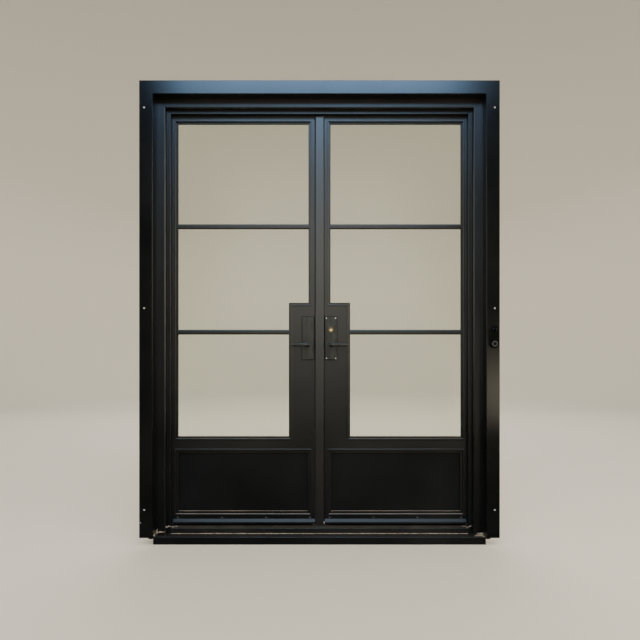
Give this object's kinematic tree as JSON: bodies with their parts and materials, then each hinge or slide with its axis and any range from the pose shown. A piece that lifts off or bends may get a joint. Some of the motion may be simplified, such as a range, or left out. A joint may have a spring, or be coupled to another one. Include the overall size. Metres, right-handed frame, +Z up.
{
  "type": "double security door with frame",
  "caption": "Double-leaf glazed steel security door in a stepped frame with a flat casing, lever locks, kick panels, a sill and a doorbell.",
  "frame": {"origin": "on the underside of the sill, at the middle of the door's width, in the plane of the leaves' outer face", "axes": "+X to the right seen from outside, +Y into the house, +Z up"},
  "size_m": [2.042, 0.2785, 2.643],
  "materials": {
    "black_paint": "satin",
    "casing_paint": "satin",
    "hardware_paint": "matt",
    "glazing": "clear, tinted",
    "seal_rubber": "matt",
    "screw_steel": "weathered",
    "lock_steel": "zinc plated",
    "cylinder_brass": "polished",
    "doorbell_black": "gloss",
    "doorbell_key": "matt",
    "lens_glass": "polished, dark"
  },
  "bodies": {
    "frame": {"frame_head": "black_paint", "frame_left_jamb": "black_paint", "frame_right_jamb": "black_paint", "casing_head": "casing_paint", "casing_left_leg": "casing_paint", "casing_right_leg": "casing_paint", "casing_screws": "screw_steel", "sill_base": "black_paint", "threshold": "black_paint", "frame_seals": "seal_rubber", "hinge_pins": "lock_steel", "doorbell_housing": "doorbell_black", "doorbell_lens": "lens_glass"},
    "doorbell_button": {"doorbell_button": "doorbell_key"},
    "left_leaf": {"left_outer_stile": "black_paint", "left_top_rail": "black_paint", "left_mid_rail": "black_paint", "left_bottom_rail": "black_paint", "left_meeting_stile": "black_paint", "left_mouldings": "black_paint", "left_glass": "glazing", "left_glazing_bead": "black_paint", "left_kick_panel": "black_paint", "left_muntins": "black_paint", "left_sweep": "black_paint", "left_leaf_screws": "screw_steel", "left_outer_plate": "hardware_paint", "left_inner_plate": "hardware_paint", "left_lock_case": "lock_steel", "centre_bar": "hardware_paint", "strike_plate": "lock_steel"},
    "left_lever_set": {"left_outer_lever": "hardware_paint", "left_inner_lever": "hardware_paint", "left_spindle": "lock_steel"},
    "top_shoot_bolt": {"top_shoot_bolt": "lock_steel"},
    "bottom_shoot_bolt": {"bottom_shoot_bolt": "lock_steel"},
    "right_leaf": {"right_outer_stile": "black_paint", "right_top_rail": "black_paint", "right_mid_rail": "black_paint", "right_bottom_rail": "black_paint", "right_meeting_stile": "black_paint", "right_mouldings": "black_paint", "right_glass": "glazing", "right_glazing_bead": "black_paint", "right_kick_panel": "black_paint", "right_muntins": "black_paint", "right_sweep": "black_paint", "right_leaf_screws": "screw_steel", "right_outer_plate": "hardware_paint", "right_inner_plate": "hardware_paint", "right_lock_case": "lock_steel", "cylinder": "cylinder_brass", "cylinder_collar": "hardware_paint"},
    "right_lever_set": {"right_outer_lever": "hardware_paint", "right_inner_lever": "hardware_paint", "right_spindle": "lock_steel"},
    "latch": {"latch": "lock_steel"},
    "deadbolt": {"deadbolt": "lock_steel"},
    "deadbolt_turn": {"key_plug": "cylinder_brass", "thumbturn": "hardware_paint"}
  },
  "joints": [
    {"name": "left_leaf_swing", "type": "hinge", "parent": "frame", "child": "left_leaf", "pos_m": [-0.882, 0.062, 1.3], "axis": [0, 0, 1], "range_deg": [0, 95]},
    {"name": "right_leaf_swing", "type": "hinge", "parent": "frame", "child": "right_leaf", "pos_m": [0.882, 0.062, 1.3], "axis": [0, 0, 1], "range_deg": [-95, 0]},
    {"name": "left_lever_lift", "type": "hinge", "parent": "left_leaf", "child": "left_lever_set", "pos_m": [-0.0675, 0, 1.144], "axis": [0, 1, 0], "range_deg": [0, 45]},
    {"name": "right_lever_lift", "type": "hinge", "parent": "right_leaf", "child": "right_lever_set", "pos_m": [0.0675, 0, 1.144], "axis": [0, -1, 0], "range_deg": [0, 45]},
    {"name": "top_bolt_slide", "type": "slide", "parent": "left_leaf", "child": "top_shoot_bolt", "axis": [0, 0, 1], "range_m": [0, 0.022]},
    {"name": "bottom_bolt_slide", "type": "slide", "parent": "left_leaf", "child": "bottom_shoot_bolt", "axis": [0, 0, -1], "range_m": [0, 0.022]},
    {"name": "latch_slide", "type": "slide", "parent": "right_leaf", "child": "latch", "axis": [-1, 0, 0], "range_m": [0, 0.012]},
    {"name": "deadbolt_slide", "type": "slide", "parent": "right_leaf", "child": "deadbolt", "axis": [-1, 0, 0], "range_m": [0, 0.022]},
    {"name": "thumbturn_turn", "type": "hinge", "parent": "right_leaf", "child": "deadbolt_turn", "pos_m": [0.0675, 0, 1.231], "axis": [0, 1, 0], "range_deg": [0, 90]},
    {"name": "doorbell_press", "type": "slide", "parent": "frame", "child": "doorbell_button", "axis": [0, 1, 0], "range_m": [0, 0.001], "stiffness_N_per_m": 300}
  ],
  "couplings": [
    {"joint": "top_bolt_slide", "follows": "left_lever_lift", "m_per_rad": 0.028},
    {"joint": "bottom_bolt_slide", "follows": "left_lever_lift", "m_per_rad": 0.028},
    {"joint": "latch_slide", "follows": "right_lever_lift", "m_per_rad": 0.01527},
    {"joint": "deadbolt_slide", "follows": "thumbturn_turn", "m_per_rad": 0.014}
  ]
}
